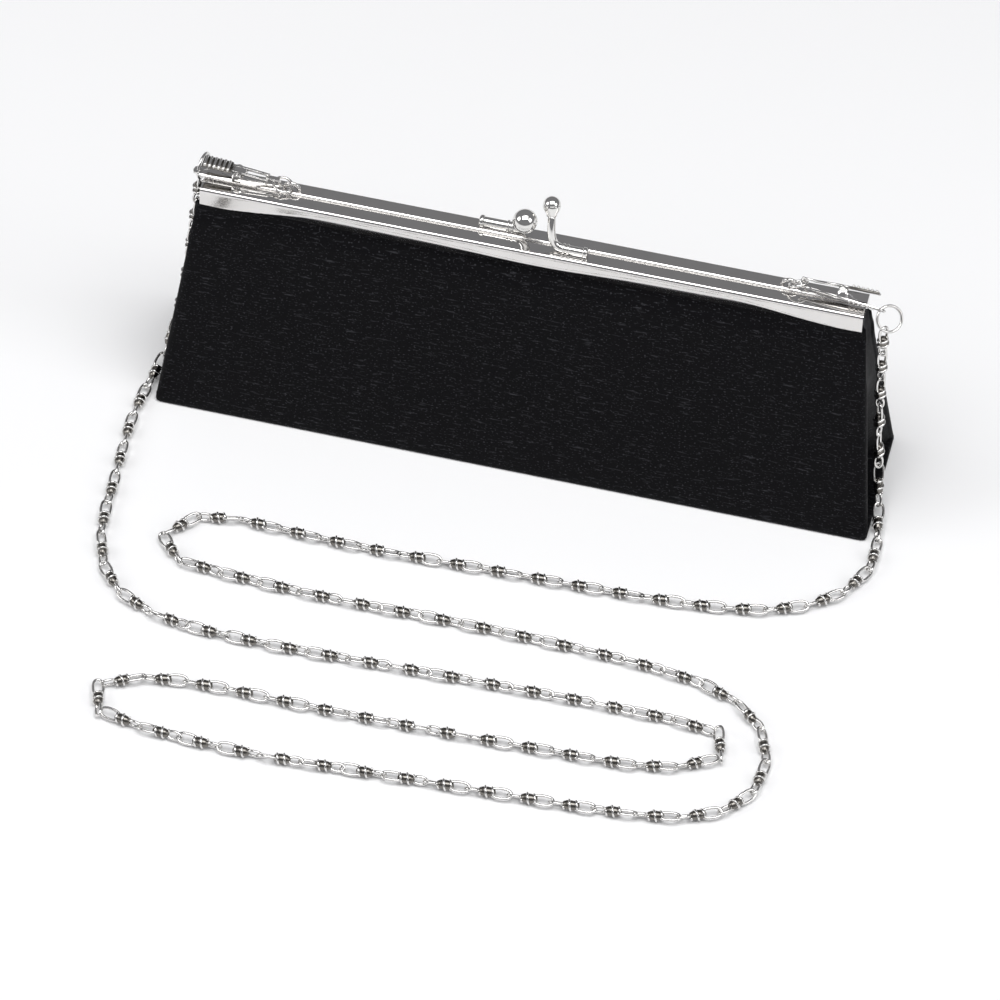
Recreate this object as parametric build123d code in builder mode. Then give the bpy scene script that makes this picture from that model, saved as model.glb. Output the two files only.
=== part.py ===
"""Evening clutch purse: a boarded satin bag on a two-bar kiss-lock frame, with a clip-on chain strap.

Frame of reference: millimetres, X along the purse with +X at the right as seen from the front, the front
faces -Y, +Z is up, and the origin is at the middle of the base, on the surface that the purse stands on.
"""

from build123d import *
from math import cos, radians, sin, tan, pi
import os

os.makedirs("parts", exist_ok=True)

# ---------------------------------------------------------------- driving dimensions (mm)
base_length = 240.0  # across the bottom edge
base_depth = 49.0  # front to back at the floor
frame_length = 219.0  # each frame bar
frame_top = 85.0  # top face of the bars
bar_depth = 6.0  # front to back of one bar
bar_gap = 0.2  # between the two closed bars
bar_wall = 0.8  # sheet metal of the bars
face_height_middle = 8.6  # outer face of a bar at mid length
face_height_end = 6.4  # and at its ends
inner_face_height = 7.0
edge_round = 0.7

fabric = 1.0  # satin with its backing
board = 1.5  # stiffening board
lining = 0.6
panel_top = 75.4  # soft walls end here, just under the bars
front_panel_top = 56.0  # stiffened part of the front
back_board_top = 66.0
flap_bottom = 69.0  # lowest edge of the fabric strip that swings with the front bar

pivot_z = 60.0
arm_thickness = 1.2
eye_radius = 3.0
rivet_radius = 1.0
running_gap = 0.05  # radial clearance of everything that turns on a pin

left_lug_x = 80.5  # distance of each strap lug from the middle
right_lug_x = 84.0
lug_y = 1.6
lug_height = 1.3  # centre of the lug's hole above the bar
small_ring_radius = 3.1  # to the middle of the wire
small_wire = 0.45
big_ring_radius = 4.2
big_wire = 0.5

chain_diameter = 4.2

lean = (base_depth / 2 - bar_depth + bar_gap) / (frame_top - face_height_middle)  # slope of the big walls
taper = (base_length - frame_length) / 2 / frame_top  # slope of the purse's sides


def wall_y(z):
    """Distance of the outer face of the front or back wall from the middle plane at height z."""
    return base_depth / 2 - lean * z


def side_x(z):
    """Half length of the purse at height z."""
    return base_length / 2 - taper * z


def on(frame, plane):
    """The given plane, measured in a frame of its own."""
    return Plane(frame * plane.location)


# ---------------------------------------------------------------- soft body
def trim_to_sides():
    """Cut the active part to the purse's two sloping sides."""
    for sign in (-1, 1):
        side_plane = Plane(
            origin=(sign * base_length / 2, 0, 0),
            x_dir=(0, 1, 0),
            z_dir=(sign, 0, taper),
        )
        split(bisect_by=side_plane, keep=Keep.BOTTOM)


def leaning_wall(sign, depth_outside, thickness, z_low, z_high):
    """A flat sheet along the front (-1) or back (+1) wall, depth_outside inside the purse's skin."""
    with BuildPart() as wall:
        with BuildSketch(Plane.YZ):
            with BuildLine():
                Polyline(
                    (sign * (wall_y(z_low) - depth_outside), z_low),
                    (sign * (wall_y(z_high) - depth_outside), z_high),
                    (sign * (wall_y(z_high) - depth_outside - thickness), z_high),
                    (sign * (wall_y(z_low) - depth_outside - thickness), z_low),
                    close=True,
                )
            make_face()
        extrude(amount=base_length / 2 + 1, both=True)
        trim_to_sides()
    return wall


def save(builder, label):
    """Label a finished piece and write it as its own STEP file."""
    builder.part.label = label
    export_step(builder.part, f"parts/{label}.step")


save(leaning_wall(-1, 0, fabric, 0, front_panel_top), "front_fabric")
save(leaning_wall(1, 0, fabric, 0, panel_top), "back_fabric")
save(leaning_wall(-1, fabric, board, fabric, front_panel_top), "front_board")
save(leaning_wall(1, fabric, board, fabric, back_board_top), "back_board")

inner_skin = fabric + board
base_inner = inner_skin + lining
save(leaning_wall(-1, inner_skin, lining, base_inner, front_panel_top), "front_lining")
save(leaning_wall(1, inner_skin, lining, base_inner, back_board_top), "back_lining")

# The strip of front fabric that folds as the mouth opens, and the strip above it, glued into the front bar.
save(leaning_wall(-1, 0, fabric, front_panel_top + 0.2, flap_bottom - 0.2), "front_fold_fabric")
save(leaning_wall(-1, 0, fabric, flap_bottom, panel_top), "front_top_fabric")


def base_sheet(z_low, thickness, inset):
    """A flat sheet of the floor of the purse that ends inset from the skin of the two big walls."""
    with BuildPart() as sheet:
        with BuildSketch(Plane.YZ):
            with BuildLine():
                Polyline(
                    (wall_y(z_low) - inset, z_low),
                    (wall_y(z_low + thickness) - inset, z_low + thickness),
                    (-wall_y(z_low + thickness) + inset, z_low + thickness),
                    (-wall_y(z_low) + inset, z_low),
                    close=True,
                )
            make_face()
        extrude(amount=base_length / 2 + 1, both=True)
        trim_to_sides()
    return sheet


save(base_sheet(0, fabric, fabric), "base_fabric")
save(base_sheet(fabric, board, inner_skin), "base_board")
save(base_sheet(inner_skin, lining, inner_skin), "base_lining")

gusset_thickness = 0.8
gusset_fold = 11.0  # how far the pleat reaches in at the bottom
gusset_top_fold = 1.0  # and at the top
gusset_clear = 0.3
gusset_low = base_inner + gusset_clear
gusset_split = 54.0
gusset_top = 72.0


def pleat_outline(sign, z):
    """The V of a side gusset at height z, as a closed outline in plan."""
    edge = side_x(z) - gusset_clear
    half_mouth = wall_y(z) - base_inner - gusset_clear
    fold = max(gusset_top_fold, gusset_fold * (1 - z / gusset_split))
    return [
        (sign * edge, half_mouth),
        (sign * (edge - fold), 0),
        (sign * edge, -half_mouth),
        (sign * (edge - gusset_thickness), -half_mouth),
        (sign * (edge - fold - gusset_thickness), 0),
        (sign * (edge - gusset_thickness), half_mouth),
    ]


def gusset(sign, z_low, z_high):
    """A pleated end wall between two heights."""
    with BuildPart() as pleat:
        for z in (z_low, z_high):
            with BuildSketch(Plane.XY.offset(z)):
                with BuildLine():
                    Polyline(*pleat_outline(sign, z), close=True)
                make_face()
        loft(ruled=True)
    return pleat


for side, sign in (("left", -1), ("right", 1)):
    save(gusset(sign, gusset_low, gusset_split), f"{side}_gusset")
    save(gusset(sign, gusset_split + 0.2, gusset_top), f"{side}_gusset_top")


# ---------------------------------------------------------------- frame
bar_inner_y = bar_gap / 2
arm_front_x = 106.1  # inner face of the front bar's arms
arm_back_x = 107.5  # inner face of the back bar's arms


def frame_bar(sign):
    """One pressed bar: a channel open downwards, its outer lip bowed towards the middle of the purse."""
    outer_y = sign * bar_depth
    inner_y = sign * bar_inner_y
    low_middle = frame_top - face_height_middle
    low_end = frame_top - face_height_end
    half = frame_length / 2
    with BuildPart() as bar:
        with BuildSketch(Plane.XZ.offset(-inner_y)):
            with BuildLine():
                Line((-half, low_end), (-half, frame_top))
                Line((-half, frame_top), (half, frame_top))
                Line((half, frame_top), (half, low_end))
                ThreePointArc((half, low_end), (0, low_middle), (-half, low_end))
            make_face()
        extrude(amount=-sign * (bar_depth - bar_inner_y))
        top_edges = bar.edges().filter_by(Axis.X).group_by(Axis.Z)[-1]
        fillet(top_edges, radius=edge_round)
        # the channel inside
        channel_width = bar_depth - bar_inner_y - 2 * bar_wall
        channel_y = (outer_y + inner_y) / 2
        with Locations((0, channel_y, frame_top - bar_wall)):
            Box(
                frame_length - 2 * bar_wall,
                channel_width,
                face_height_middle + bar_wall,
                align=(Align.CENTER, Align.CENTER, Align.MAX),
                mode=Mode.SUBTRACT,
            )
        # the inner lip is shorter than the outer one
        with Locations((0, inner_y, frame_top - inner_face_height)):
            Box(
                frame_length + 2,
                2 * bar_wall,
                face_height_middle,
                align=(Align.CENTER, Align.CENTER, Align.MAX),
                mode=Mode.SUBTRACT,
            )
    return bar


save(frame_bar(-1), "front_bar")
save(frame_bar(1), "back_bar")

arm_root_y = (bar_depth + bar_inner_y) / 2
arm_top = frame_top - bar_wall


def hinge_arm(side, sign, inner_x, hole_radius):
    """A flat arm from inside a bar down to its eye on the pivot pin."""
    root_y = sign * arm_root_y
    half = 1.8
    with BuildPart() as arm:
        with BuildSketch(Plane.YZ.offset(side * inner_x)):
            with BuildLine():
                Polyline(
                    (root_y - half, arm_top),
                    (root_y + half, arm_top),
                    (root_y + half, arm_top - 5),
                    (sign * 1.0 + half, pivot_z),
                    (sign * 1.0 - half, pivot_z),
                    (root_y - half, arm_top - 5),
                    close=True,
                )
            make_face()
            with Locations((0, pivot_z)):
                Circle(eye_radius)
                Circle(hole_radius, mode=Mode.SUBTRACT)
        extrude(amount=side * arm_thickness)
    return arm


def rivet(side):
    """The pin of one frame hinge with a head at each end."""
    head_radius = 1.9
    head = 0.6
    start = arm_front_x - 0.1 - head
    shank = arm_back_x + arm_thickness - arm_front_x + 0.1
    with BuildPart() as pin:
        with BuildSketch(Plane.YZ.offset(side * start)):
            with Locations((0, pivot_z)):
                Circle(head_radius)
        extrude(amount=side * head)
        with BuildSketch(Plane.YZ.offset(side * (start + head))):
            with Locations((0, pivot_z)):
                Circle(rivet_radius)
        extrude(amount=side * shank)
        with BuildSketch(Plane.YZ.offset(side * (start + head + shank))):
            with Locations((0, pivot_z)):
                Circle(head_radius)
        extrude(amount=side * head)
    return pin


for name, side in (("left", -1), ("right", 1)):
    save(hinge_arm(side, -1, arm_front_x, rivet_radius + running_gap), f"{name}_front_arm")
    save(hinge_arm(side, 1, arm_back_x, rivet_radius), f"{name}_back_arm")
    save(rivet(side), f"{name}_hinge_rivet")


def wedge_cord(sign):
    """The paper cord that wedges the fabric into a bar."""
    cord_radius = 1.5
    with BuildPart() as cord:
        with BuildSketch(Plane.YZ.offset(-104)):
            with Locations((sign * arm_root_y, frame_top - bar_wall - cord_radius - 0.6)):
                Circle(cord_radius)
        extrude(amount=208)
    return cord


save(wedge_cord(-1), "front_wedge_cord")
save(wedge_cord(1), "back_wedge_cord")


# ---------------------------------------------------------------- kiss-lock clasp
foot_y = 2.8


def clasp_half(sign, stem_radius, foot_start, stem_x, ball_center, ball_radius):
    """The bent post of one clasp ball, from its foot on a bar up to its cup, and the ball in the cup."""
    foot_z = frame_top + stem_radius + 0.05
    cap_radius = stem_radius + 0.4
    seat_width = 1.6
    cup_height = 3.6
    cup_top = ball_center[2] - ball_radius * 0.55
    cup_low = cup_top - cup_height
    with BuildPart() as post:
        with BuildLine() as path:
            FilletPolyline(
                (foot_start, sign * foot_y, foot_z),
                (stem_x, sign * foot_y, foot_z),
                (stem_x, ball_center[1], cup_low - 1.2),
                (stem_x, ball_center[1], cup_low + 0.6),
                radius=stem_radius + 0.2,
            )
        with BuildSketch(path.line ^ 0):
            Circle(stem_radius)
        sweep()
        # the turned end of the foot, resting on the bar
        with BuildSketch(Plane(origin=(foot_start, sign * foot_y, frame_top + cap_radius), z_dir=(1, 0, 0))):
            Circle(cap_radius)
        extrude(amount=0.9 if foot_start < stem_x else -0.9)
        # the brazed seat between the foot and the bar
        with Locations(((foot_start + stem_x) / 2, sign * foot_y, frame_top)):
            Box(
                abs(stem_x - foot_start) - 4,
                seat_width,
                stem_radius,
                align=(Align.CENTER, Align.CENTER, Align.MIN),
            )
        with Locations((stem_x, ball_center[1], cup_low)):
            Cone(
                stem_radius + 0.2,
                ball_radius * 0.86,
                cup_height,
                align=(Align.CENTER, Align.CENTER, Align.MIN),
            )
        with Locations(ball_center):
            Sphere(ball_radius, mode=Mode.SUBTRACT)
    with BuildPart(Location(ball_center)) as ball:
        Sphere(ball_radius)
    return post, ball


ball_back_center = (-2.2, -4.0, 97.6)  # carried by the back bar, leaning over the front one
ball_back_radius = 3.9
ball_front_center = (5.3, 3.4, 99.4)  # carried by the front bar, leaning over the back one
ball_front_radius = 3.1

back_post, back_ball = clasp_half(1, 1.6, -18.5, -2.2, ball_back_center, ball_back_radius)
front_post, front_ball = clasp_half(-1, 1.4, 18.5, 5.3, ball_front_center, ball_front_radius)
save(back_post, "back_clasp_post")
save(back_ball, "back_clasp_ball")
save(front_post, "front_clasp_post")
save(front_ball, "front_clasp_ball")


# ---------------------------------------------------------------- strap hardware
def strap_lug(lug_center_x):
    """A wire arch brazed to the back bar, with its hole facing front and back."""
    wire = 0.6
    arch = 2.4
    foot = 0.8
    with BuildPart() as lug:
        with BuildLine() as path:
            low_left = (lug_center_x - arch, lug_y, frame_top)
            high_left = (lug_center_x - arch, lug_y, frame_top + foot)
            high_right = (lug_center_x + arch, lug_y, frame_top + foot)
            low_right = (lug_center_x + arch, lug_y, frame_top)
            Line(low_left, high_left)
            ThreePointArc(high_left, (lug_center_x, lug_y, frame_top + foot + arch), high_right)
            Line(high_right, low_right)
        with BuildSketch(Plane(origin=low_left, z_dir=(0, 0, 1))):
            Circle(wire)
        sweep(path=path.wires()[0])
    return lug


def ring(ring_frame, center_x, radius, wire):
    """A closed wire ring in the local XY plane of ring_frame."""
    with BuildPart(ring_frame * Location((center_x, 0, 0))) as loop:
        Torus(radius, wire)
    return loop


# Clip: local frame with the origin in the nose eye, X towards the tail, Z towards the lever.
pin_x = 12.0
pin_z = 1.2
pin_radius = 0.6
plate_low = -1.7
plate_high = -1.0
pad_start = 14.2
pad_end = 23.4
pad_half = 2.3
nose_half = 0.8
tail_hole_x = 25.3
tail_hole_radius = 1.1
rib_count = 6


def clip_body(clip_frame):
    """The lower half of the pinch clip: hook, plate, ears, ribbed pad and tail eye."""
    with BuildPart() as body:
        with BuildSketch(on(clip_frame, Plane.XY.offset(plate_low))):
            with BuildLine():
                Polyline(
                    (-1.9, -nose_half),
                    (2.0, -nose_half),
                    (6.0, -pad_half),
                    (pad_end, -pad_half),
                    (pad_end + 2, -1.9),
                    (pad_end + 3.5, -1.9),
                    (pad_end + 3.5, 1.9),
                    (pad_end + 2, 1.9),
                    (pad_end, pad_half),
                    (6.0, pad_half),
                    (2.0, nose_half),
                    (-1.9, nose_half),
                    close=True,
                )
            make_face()
            with Locations((tail_hole_x, 0)):
                Circle(tail_hole_radius, mode=Mode.SUBTRACT)
        extrude(amount=plate_high - plate_low)
        # the hook in front of the ring
        with BuildSketch(on(clip_frame, Plane.XY.offset(plate_high))):
            with Locations((-1.5, 0)):
                Rectangle(0.8, 2 * nose_half)
        extrude(amount=1.9)
        # the two ears that hold the pin
        for ear_y in (-2.0, 2.0):
            with BuildSketch(on(clip_frame, Plane.XZ.offset(-ear_y - 0.3))):
                with Locations((pin_x, 0)):
                    Rectangle(3.0, 2 * abs(plate_high) + 0.4)
                with Locations((pin_x, pin_z)):
                    Circle(1.5)
                    Circle(pin_radius, mode=Mode.SUBTRACT)
            extrude(amount=0.6)
        # ribs under the pad
        rib_pitch = (pad_end - pad_start) / rib_count
        with BuildSketch(on(clip_frame, Plane.XY.offset(plate_low))):
            with Locations(*[(pad_start + rib_pitch * (i + 0.5), 0) for i in range(rib_count)]):
                Rectangle(rib_pitch * 0.5, 2 * pad_half)
        extrude(amount=-0.3)
    return body


def clip_lever(clip_frame):
    """The upper half of the pinch clip: jaw, ears and ribbed thumb pad."""
    with BuildPart() as lever:
        # side view of the jaw and the narrow middle
        with BuildSketch(on(clip_frame, Plane.XZ.offset(-1.6))):
            with BuildLine():
                Polyline(
                    (-1.9, 1.0),
                    (2.0, 1.0),
                    (10.0, 1.9),
                    (pad_start, 2.3),
                    (pad_start, 3.1),
                    (9.6, 2.7),
                    (1.6, 1.7),
                    (-1.9, 1.6),
                    close=True,
                )
            make_face()
        extrude(amount=3.2)
        # slot in the jaw, so that it is a frame around an open middle
        with BuildSketch(on(clip_frame, Plane.XY.offset(0.5))):
            with Locations((5.6, 0)):
                RectangleRounded(6.0, 1.7, 0.7)
        extrude(amount=3, mode=Mode.SUBTRACT)
        # narrow nose
        with BuildSketch(on(clip_frame, Plane.XY.offset(0.5))):
            with Locations((-0.6, 1.6), (-0.6, -1.6)):
                Rectangle(3.2, 1.4)
        extrude(amount=3, mode=Mode.SUBTRACT)
        # thumb pad
        with BuildSketch(on(clip_frame, Plane.XZ.offset(-pad_half))):
            with BuildLine():
                Polyline(
                    (pad_start, 2.3),
                    (pad_end, 3.1),
                    (pad_end, 3.8),
                    (pad_start, 3.1),
                    close=True,
                )
            make_face()
        extrude(amount=2 * pad_half)
        rib_pitch = (pad_end - pad_start) / rib_count
        for i in range(rib_count):
            rib_x = pad_start + rib_pitch * (i + 0.5)
            rib_z = 3.1 + 0.7 * (rib_x - pad_start) / (pad_end - pad_start)
            with BuildSketch(on(clip_frame, Plane.XZ.offset(-pad_half))):
                with Locations((rib_x, rib_z + 0.1)):
                    Rectangle(rib_pitch * 0.5, 0.9)
            extrude(amount=2 * pad_half)
        # ears inside those of the body
        for ear_y in (-1.3, 1.3):
            with BuildSketch(on(clip_frame, Plane.XZ.offset(-ear_y - 0.3))):
                with Locations((pin_x, 1.9)):
                    Rectangle(2.4, 1.0)
                with Locations((pin_x, pin_z)):
                    Circle(1.2)
            extrude(amount=0.6)
        with BuildSketch(on(clip_frame, Plane.XZ.offset(-1.7))):
            with Locations((pin_x, pin_z)):
                Circle(pin_radius + running_gap)
        extrude(amount=3.4, mode=Mode.SUBTRACT)
    return lever


def clip_pin(clip_frame):
    """The rivet that the lever turns on."""
    with BuildPart() as pin:
        with BuildSketch(on(clip_frame, Plane.XZ.offset(-2.3))):
            with Locations((pin_x, pin_z)):
                Circle(pin_radius)
        extrude(amount=4.6)
        for head_y in (-2.3, 2.7):
            with BuildSketch(on(clip_frame, Plane.XZ.offset(-head_y))):
                with Locations((pin_x, pin_z)):
                    Circle(1.0)
            extrude(amount=0.4)
    return pin


def clip_spring(clip_frame):
    """The torsion spring on the pin, with one leg on each half of the clip."""
    with BuildPart() as spring:
        with BuildSketch(on(clip_frame, Plane.XZ.offset(-0.9))):
            with Locations((pin_x, pin_z)):
                Circle(0.86)
                Circle(0.64, mode=Mode.SUBTRACT)
        extrude(amount=1.8)
        for leg_y, leg_end_z in ((-0.6, -0.6), (0.6, 1.95)):
            with BuildSketch(on(clip_frame, Plane.XZ.offset(-leg_y - 0.2))):
                with BuildLine():
                    Polyline(
                        (pin_x + 0.7, pin_z - 0.2),
                        (17.5, leg_end_z - 0.2),
                        (17.5, leg_end_z + 0.2),
                        (pin_x + 0.7, pin_z + 0.2),
                        close=True,
                    )
                make_face()
            extrude(amount=0.4)
    return spring


def strap_end(name, lug_center_x, heading, ring_pose, clip_pose, big_ring_turn, big_ring_droop):
    """Everything between a lug and the chain: small ring, clip, big ring.

    Angles in degrees. heading is the way the clip points in plan, 0 along +X. A pose is pitch, then roll.
    """
    ring_pitch, ring_roll = ring_pose
    clip_pitch, clip_roll = clip_pose
    outward = Location((0, 0, 0), (0, 0, heading))
    lug_hole = Location((lug_center_x, lug_y, frame_top + lug_height)) * outward
    ring_frame = lug_hole * Location((0, 0, 0), (0, -ring_pitch, 0)) * Location((0, 0, 0), (ring_roll, 0, 0))
    reach = 2 * small_ring_radius
    nose = Location((reach * cos(radians(ring_pitch)), 0, reach * sin(radians(ring_pitch))))
    clip_tilt = Location((0, 0, 0), (0, clip_pitch, 0))
    clip_turn = Location((0, 0, 0), (clip_roll, 0, 0))
    clip_frame = lug_hole * nose * clip_tilt * clip_turn
    tail_eye = clip_frame * Location((tail_hole_x, 0, (plate_low + plate_high) / 2))
    big_ring_frame = (
        tail_eye
        * Location((0, 0, 0), (0, 0, big_ring_turn))
        * Location((0, 0, 0), (0, big_ring_droop, 0))
        * Location((0, 0, 0), (90, 0, 0))
    )
    save(strap_lug(lug_center_x), f"{name}_strap_lug")
    save(ring(ring_frame, small_ring_radius, small_ring_radius, small_wire), f"{name}_small_ring")
    save(clip_body(clip_frame), f"{name}_clip_body")
    save(clip_lever(clip_frame), f"{name}_clip_lever")
    save(clip_pin(clip_frame), f"{name}_clip_pin")
    save(clip_spring(clip_frame), f"{name}_clip_spring")
    save(ring(big_ring_frame, big_ring_radius, big_ring_radius, big_wire), f"{name}_chain_ring")
    pin_location = clip_frame * Location((pin_x, 0, pin_z))
    pin_axis = on(clip_frame, Plane.XZ).z_dir
    ring_center = big_ring_frame * Location((big_ring_radius, 0, 0))
    print(name, "lever pin at", tuple(pin_location.position), "axis", tuple(pin_axis))
    print(name, "chain ring centre", tuple(ring_center.position))


strap_end("left", -left_lug_x, 180, (10, 0), (0.2, 0), -100, 20)
strap_end("right", right_lug_x, -7, (25, -25), (1.5, -50), 30, 25)


# ---------------------------------------------------------------- chain strap
chain_z = 2.3  # middle of the chain where it lies on the floor

left_route = [
    (-113.4, 7.0, 79.0),
    (-116.2, 6.0, 58.0),
    (-117.5, 2.0, 32.0),
    (-120.0, -1.5, 13.0),
    (-124.5, -9.0, 3.6),
    (-127.0, -20.0, chain_z),
    (-126.5, -38.0, chain_z),
    (-123.0, -62.0, chain_z),
    (-122.0, -86.0, chain_z),
    (-113.0, -107.5, chain_z),
    (-92.0, -117.5, chain_z),
    (-58.0, -118.8, chain_z),
    (-18.0, -117.2, chain_z),
    (22.0, -116.0, chain_z),
    (56.0, -115.4, chain_z),
    (80.0, -115.6, chain_z),
    (93.0, -118.0, chain_z),
    (95.5, -124.5, chain_z),
    (87.0, -132.5, chain_z),
    (70.0, -137.5, chain_z),
    (38.0, -138.4, chain_z),
    (0.0, -139.8, chain_z),
    (-36.0, -140.4, chain_z),
    (-68.0, -139.6, chain_z),
    (-91.0, -141.3, chain_z),
    (-103.5, -147.5, chain_z),
    (-105.5, -156.0, chain_z),
    (-96.0, -160.5, chain_z),
    (-78.0, -163.0, chain_z),
    (-48.0, -163.9, chain_z),
    (-18.0, -161.9, chain_z),
    (6.0, -160.6, chain_z),
]
right_route = [
    (116.6, -7.6, 80.4),
    (116.9, -5.0, 59.0),
    (117.6, -2.6, 32.0),
    (120.2, -4.0, 13.0),
    (124.5, -10.0, 3.6),
    (127.0, -20.0, chain_z),
    (125.0, -36.0, chain_z),
    (116.5, -52.0, chain_z),
    (99.0, -62.5, chain_z),
    (76.0, -66.8, chain_z),
    (42.0, -68.4, chain_z),
    (4.0, -69.2, chain_z),
    (-34.0, -70.8, chain_z),
    (-62.0, -70.0, chain_z),
    (-85.0, -68.6, chain_z),
    (-98.0, -75.0, chain_z),
    (-101.5, -85.0, chain_z),
    (-94.0, -91.5, chain_z),
    (-78.0, -93.0, chain_z),
    (-46.0, -94.6, chain_z),
    (-8.0, -93.8, chain_z),
    (30.0, -94.2, chain_z),
    (62.0, -95.4, chain_z),
    (86.0, -99.0, chain_z),
    (102.5, -108.5, chain_z),
    (109.5, -126.0, chain_z),
    (105.5, -144.0, chain_z),
    (89.0, -154.5, chain_z),
    (62.0, -157.8, chain_z),
    (30.0, -159.3, chain_z),
    (6.0, -160.6, chain_z),
]


def bend_radii(route):
    """One radius for each corner of a route: 0.45 of its shorter run over the tangent of half the turn."""
    points = [Vector(*p) for p in route]
    radii = []
    for before, corner, after in zip(points, points[1:], points[2:]):
        run_in = corner - before
        run_out = after - corner
        turn = radians(run_in.get_angle(run_out))
        radii.append(0.45 * min(run_in.length, run_out.length) / tan(turn / 2))
    return radii


def chain_tube(label, route):
    """The plain tube that stands for one half of the chain strap."""
    radii = bend_radii(route)
    with BuildPart() as tube:
        with BuildLine() as path:
            FilletPolyline(*route, radius=radii)
        with BuildSketch(path.line ^ 0):
            Circle(chain_diameter / 2)
        sweep()
    save(tube, label)
    length = sum(edge.length for edge in path.edges())
    expected = pi * chain_diameter**2 / 4 * length
    print(label, "length", round(length, 1), "volume ratio", round(tube.part.volume / expected, 4))
    print(label, "bend radii", [round(r, 1) for r in radii])
    return length


strap_length = chain_tube("left_chain", left_route) + chain_tube("right_chain", right_route)
print("strap length", round(strap_length, 1))
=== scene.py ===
"""Evening clutch purse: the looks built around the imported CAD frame.

Shapes are worked out in millimetres and built in metres. The purse stands on z = 0 and its front faces -Y.
"""

import math
import random

import bpy
import numpy as np
from mathutils import Matrix, Vector


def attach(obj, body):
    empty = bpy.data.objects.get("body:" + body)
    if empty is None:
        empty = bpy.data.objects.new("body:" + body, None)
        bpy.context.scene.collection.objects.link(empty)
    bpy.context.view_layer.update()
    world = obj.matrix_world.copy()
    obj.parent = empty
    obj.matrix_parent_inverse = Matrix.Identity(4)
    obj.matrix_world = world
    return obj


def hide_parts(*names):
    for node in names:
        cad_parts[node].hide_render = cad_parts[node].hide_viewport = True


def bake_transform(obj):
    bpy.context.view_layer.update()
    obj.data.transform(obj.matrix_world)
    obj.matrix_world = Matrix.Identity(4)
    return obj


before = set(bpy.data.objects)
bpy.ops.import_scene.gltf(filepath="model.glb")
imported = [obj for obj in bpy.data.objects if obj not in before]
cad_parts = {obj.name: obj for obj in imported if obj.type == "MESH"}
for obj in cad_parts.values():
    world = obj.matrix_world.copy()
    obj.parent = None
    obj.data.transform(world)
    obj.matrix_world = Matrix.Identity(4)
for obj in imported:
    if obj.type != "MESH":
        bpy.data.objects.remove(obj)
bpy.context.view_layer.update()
scene = bpy.context.scene
MM = 0.001


# ---------------------------------------------------------------- camera
def make_camera():
    """The viewpoint: 48 degrees above the horizon, a little to the right of the purse."""
    data = bpy.data.cameras.new("camera")
    data.sensor_width = 36
    data.lens = 239.9
    data.clip_start = 0.1
    data.clip_end = 50
    camera = bpy.data.objects.new("camera", data)
    right = Vector((0.97193, 0.23339, 0.0298))
    up = Vector((-0.19361, 0.72137, 0.66493))
    back = Vector((0.13369, -0.65203, 0.74631))
    turn = Matrix((right, up, back)).transposed().to_4x4()
    camera.matrix_world = Matrix.Translation((0.2922, -1.4596, 1.6282)) @ turn
    scene.collection.objects.link(camera)
    scene.camera = camera


make_camera()


# ---------------------------------------------------------------- mesh helpers
class Parts:
    """One mesh gathered from several shapes, in millimetres. looks has the material number of each face."""

    def __init__(self):
        self.verts = []
        self.faces = []
        self.looks = []

    def add(self, verts, faces, matrix=None, look=0):
        start = len(self.verts)
        self.verts += [matrix @ Vector(v) if matrix else Vector(v) for v in verts]
        self.faces += [[start + i for i in face] for face in faces]
        self.looks += [look] * len(faces)

    def add_copy(self, other, matrix):
        """Adds another shape at a place, with its own looks."""
        start = len(self.verts)
        self.verts += [matrix @ v for v in other.verts]
        self.faces += [[start + i for i in face] for face in other.faces]
        self.looks += other.looks

    def build(self, name, materials, slot):
        mesh = bpy.data.meshes.new(name)
        mesh.from_pydata([v * MM for v in self.verts], [], self.faces)
        for material in materials:
            mesh.materials.append(material)
        for polygon, look in zip(mesh.polygons, self.looks):
            polygon.material_index = look
            polygon.use_smooth = True
        mesh.update()
        piece = bpy.data.objects.new(name, mesh)
        scene.collection.objects.link(piece)
        return piece


def ring_faces(rings, sides, closed, caps):
    """Faces between rings of points, in a row or closed to a loop, with a cap at each end where asked."""
    faces = []
    for i in range(rings if closed else rings - 1):
        for j in range(sides):
            a, b = i * sides + j, i * sides + (j + 1) % sides
            k = (i + 1) % rings * sides
            faces.append([a, b, k + (j + 1) % sides, k + j])
    if caps and not closed:
        faces.append(list(range(sides))[::-1])
        faces.append([(rings - 1) * sides + j for j in range(sides)])
    return faces


def wire(points, radius, sides=8, closed=False, reference=None):
    """A round wire along points. radius is one number, or one for each point."""
    points = [Vector(p) for p in points]
    count = len(points)
    radii = radius if isinstance(radius, (list, tuple)) else [radius] * count
    verts = []
    normal = Vector(reference) if reference else None
    for i, point in enumerate(points):
        before = points[i - 1] if closed or i else points[0]
        after = points[(i + 1) % count] if closed or i < count - 1 else points[-1]
        tangent = (after - before).normalized()
        if normal is None:
            normal = tangent.orthogonal()
        base = Vector(reference) if reference else normal
        normal = (base - tangent * base.dot(tangent)).normalized()
        other = tangent.cross(normal)
        for j in range(sides):
            angle = 2 * math.pi * j / sides
            verts.append(point + (normal * math.cos(angle) + other * math.sin(angle)) * radii[i])
    return verts, ring_faces(count, sides, closed, True)


def lathe(profile, sides=40):
    """A turned shape round the local Z axis. profile is a list of (radius, height)."""
    verts = []
    for radius, height in profile:
        for j in range(sides):
            angle = 2 * math.pi * j / sides
            verts.append((radius * math.cos(angle), radius * math.sin(angle), height))
    return verts, ring_faces(len(profile), sides, False, True)


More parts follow.
